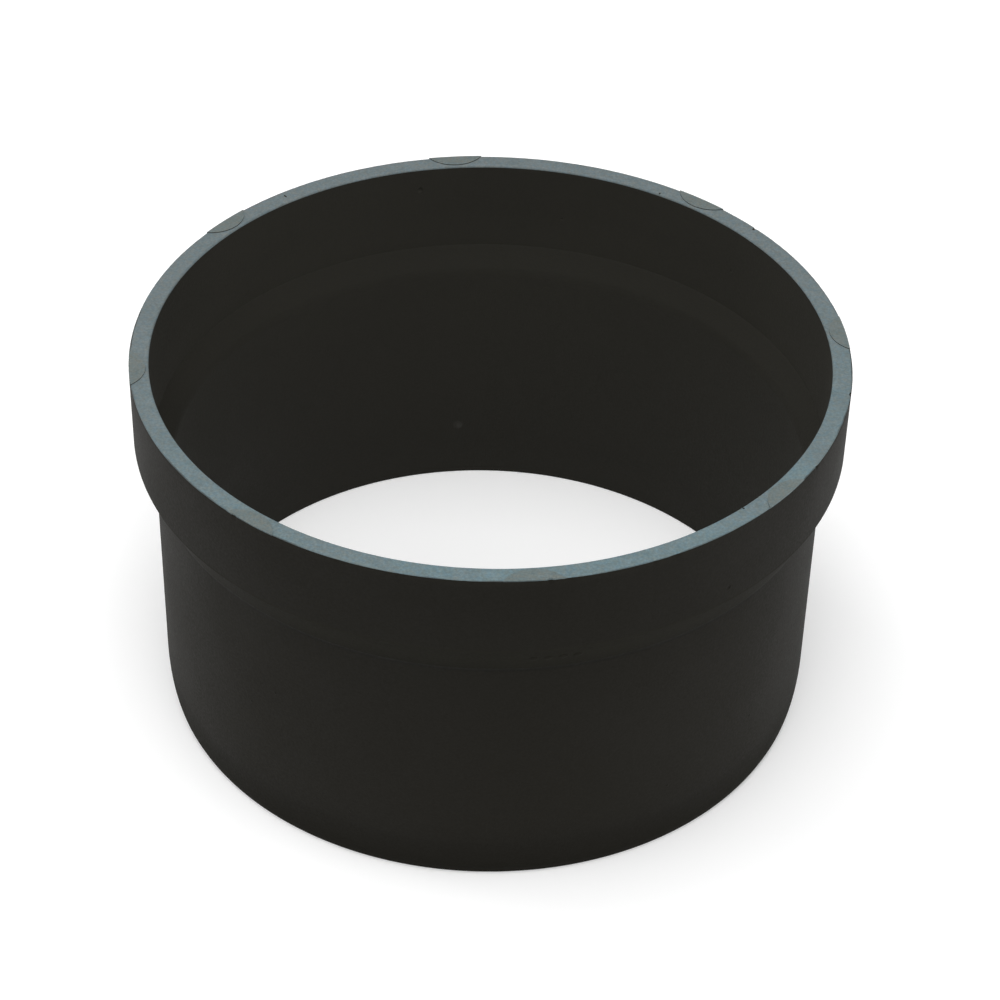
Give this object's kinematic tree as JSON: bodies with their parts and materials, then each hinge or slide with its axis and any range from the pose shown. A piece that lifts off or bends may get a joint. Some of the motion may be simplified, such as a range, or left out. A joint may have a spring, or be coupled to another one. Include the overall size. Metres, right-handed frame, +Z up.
{
  "type": "reducing coupling",
  "caption": "Short moulded plastic drain coupling: a plain socket collar steps down over a conical shoulder to a spigot with a rounded lead-in, joining a pipe to the next fitting.",
  "frame": {"origin": "centre of the spigot's end face, on the axis, at the level the part stands on", "axes": "+Z runs up the axis from the spigot to the socket's mouth; -Y is the side with the row of pips, +X is to its right"},
  "size_m": [0.1168, 0.1168, 0.0651],
  "materials": {
    "body_plastic": "dark charcoal moulded plastic, softly matt, with a paler blue-grey rim face"
  },
  "bodies": {
    "root": {"coupling_body": "body_plastic"}
  },
  "joints": []
}
